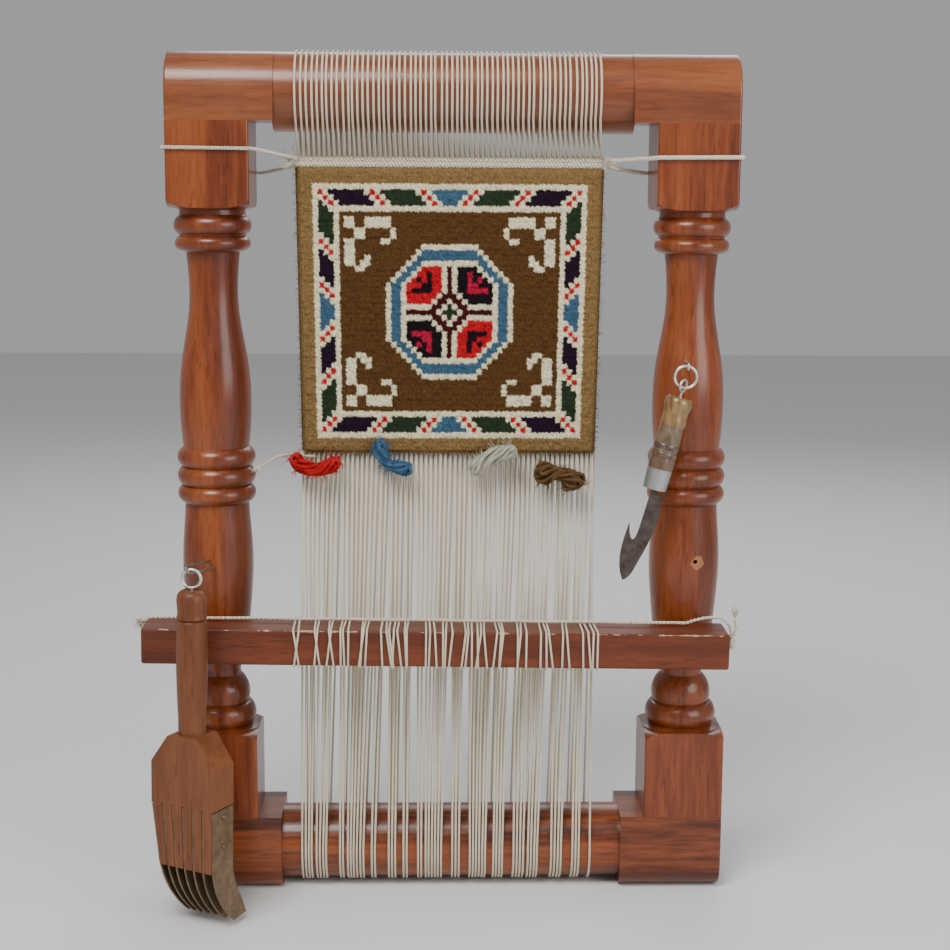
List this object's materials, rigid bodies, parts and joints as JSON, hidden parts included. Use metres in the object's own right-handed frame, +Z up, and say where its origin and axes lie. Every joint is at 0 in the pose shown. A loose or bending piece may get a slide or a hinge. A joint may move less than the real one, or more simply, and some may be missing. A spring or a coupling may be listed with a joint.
{
  "type": "tapestry frame loom",
  "caption": "Upright wooden tapestry loom with turned posts, wrapped warp, a part-woven knotted rug, a heddle bar, and a comb beater and knotting knife hanging from the posts.",
  "frame": {"origin": "centre of the bounding box's footprint, at floor level", "axes": "+Z up, +X to the weaver's right along the beams, -Y towards the weaver"},
  "size_m": [0.3065, 0.1028, 0.4312],
  "materials": {
    "rosewood": "polished reddish-brown turned wood",
    "comb_wood": "worn reddish-brown wood, oiled",
    "bar_wood": "reddish-brown wood with pale worn edges",
    "cotton": "unbleached cotton thread",
    "knotted_pile": "wool pile in many colours",
    "red_wool": "wool yarn",
    "blue_wool": "wool yarn",
    "cream_wool": "wool yarn",
    "brown_wool": "wool yarn",
    "blade_steel": "dull, tarnished",
    "wire_steel": "bright nickel-plated wire",
    "ferrule_metal": "brushed",
    "horn": "polished amber horn",
    "tan_horn": "polished tan horn",
    "dark_horn": "polished dark horn",
    "brown_horn": "polished brown horn"
  },
  "bodies": {
    "frame": {"left_post": "rosewood", "right_post": "rosewood", "top_beam": "rosewood", "bottom_beam": "rosewood", "warp_over_top_beam": "cotton", "warp_under_bottom_beam": "cotton", "upper_warp_front": "cotton", "upper_warp_back": "cotton", "lower_warp_front": "cotton", "lower_warp_back": "cotton", "header_cord": "cotton", "rug": "knotted_pile", "left_tie": "cotton", "right_tie": "cotton", "weft_tail": "cotton", "red_yarn": "red_wool", "blue_yarn": "blue_wool", "cream_yarn": "cream_wool", "brown_yarn": "brown_wool", "comb_hairpin": "wire_steel", "knife_staple": "wire_steel"},
    "leashes": {"leashes": "cotton"},
    "heddle": {"heddle_bar": "bar_wood", "bar_loops": "cotton", "heddle_string": "cotton", "left_string_knot": "cotton", "right_string_knot": "cotton", "string_tail": "cotton"},
    "comb": {"comb_eye": "wire_steel", "comb_handle": "comb_wood", "comb_blades": "blade_steel", "comb_rivets": "blade_steel"},
    "knife": {"knife_ring": "wire_steel", "knife_eye": "wire_steel", "knife_butt": "horn", "knife_grip": "tan_horn", "knife_upper_band": "dark_horn", "knife_middle_band": "tan_horn", "knife_lower_band": "dark_horn", "knife_collar": "brown_horn", "knife_ferrule": "ferrule_metal", "knife_blade": "blade_steel"}
  },
  "joints": [
    {"name": "heddle_lift", "type": "slide", "parent": "frame", "child": "leashes", "axis": [0, 0, 1], "range_m": [-0.024, 0.012]},
    {"name": "heddle_pull", "type": "slide", "parent": "leashes", "child": "heddle", "axis": [0, -1, 0], "range_m": [0, 0.008]},
    {"name": "comb_swing", "type": "hinge", "parent": "frame", "child": "comb", "pos_m": [-0.1187, -0.0351, 0.1797], "axis": [0, 1, 0], "range_deg": [-20, 20]},
    {"name": "knife_swing", "type": "hinge", "parent": "frame", "child": "knife", "pos_m": [0.1244, 0.0009, 0.2756], "axis": [0, 1, 0], "range_deg": [-14.4, 10]}
  ]
}
